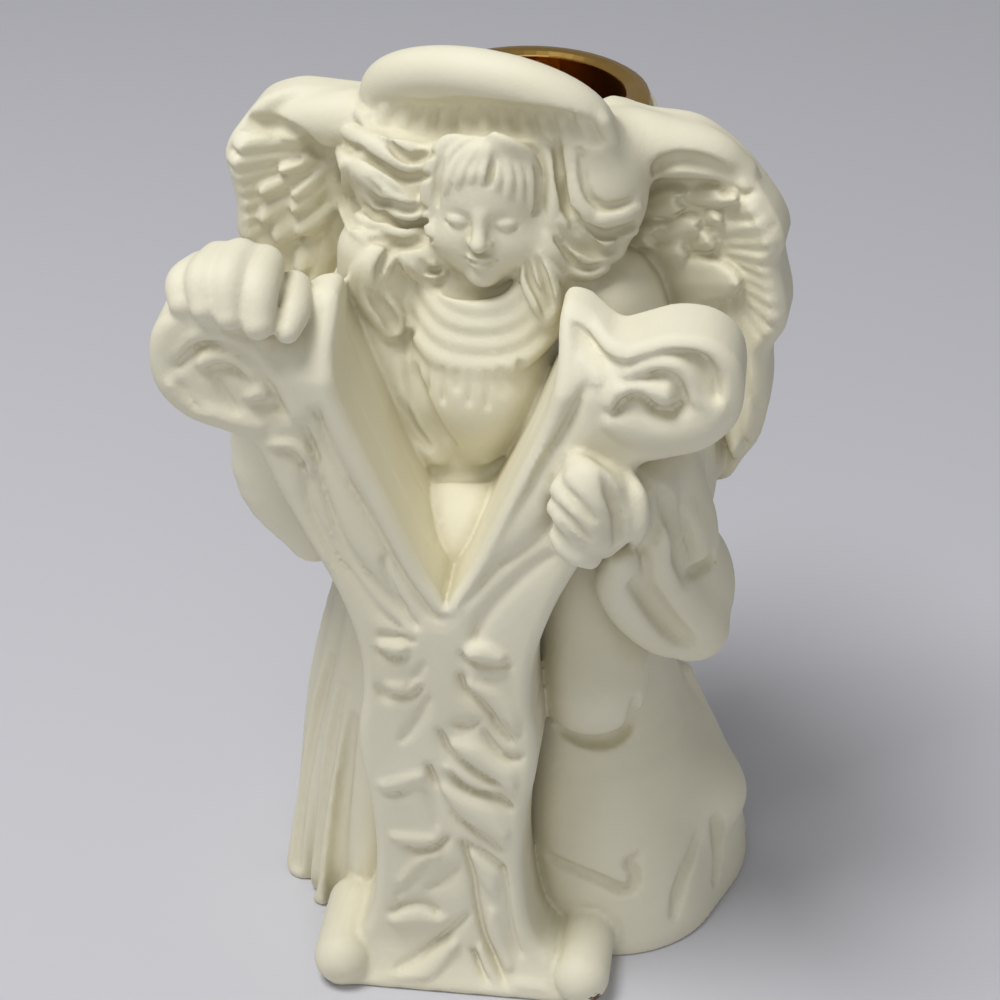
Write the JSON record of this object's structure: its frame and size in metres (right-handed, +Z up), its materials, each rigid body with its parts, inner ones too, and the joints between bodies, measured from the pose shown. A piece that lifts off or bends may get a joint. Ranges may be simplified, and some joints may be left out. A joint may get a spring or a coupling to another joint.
{
  "type": "angel candle holder",
  "caption": "Bisque porcelain angel kneeling behind a tall scrolled Y-shaped panel, with a brass taper-candle cup set behind its halo.",
  "frame": {"origin": "on the underside of the base, at the middle of the footprint", "axes": "+Z up, -Y the way the angel and its panel face, +X to the right of a viewer in front of it"},
  "size_m": [0.0688, 0.062, 0.1142],
  "materials": {
    "bisque_porcelain": "unglazed matte bisque, warm ivory white",
    "polished_brass": "bright polished with a darker interior"
  },
  "bodies": {
    "root": {"angel_figure": "bisque_porcelain", "candle_cup_insert": "polished_brass"}
  },
  "joints": []
}
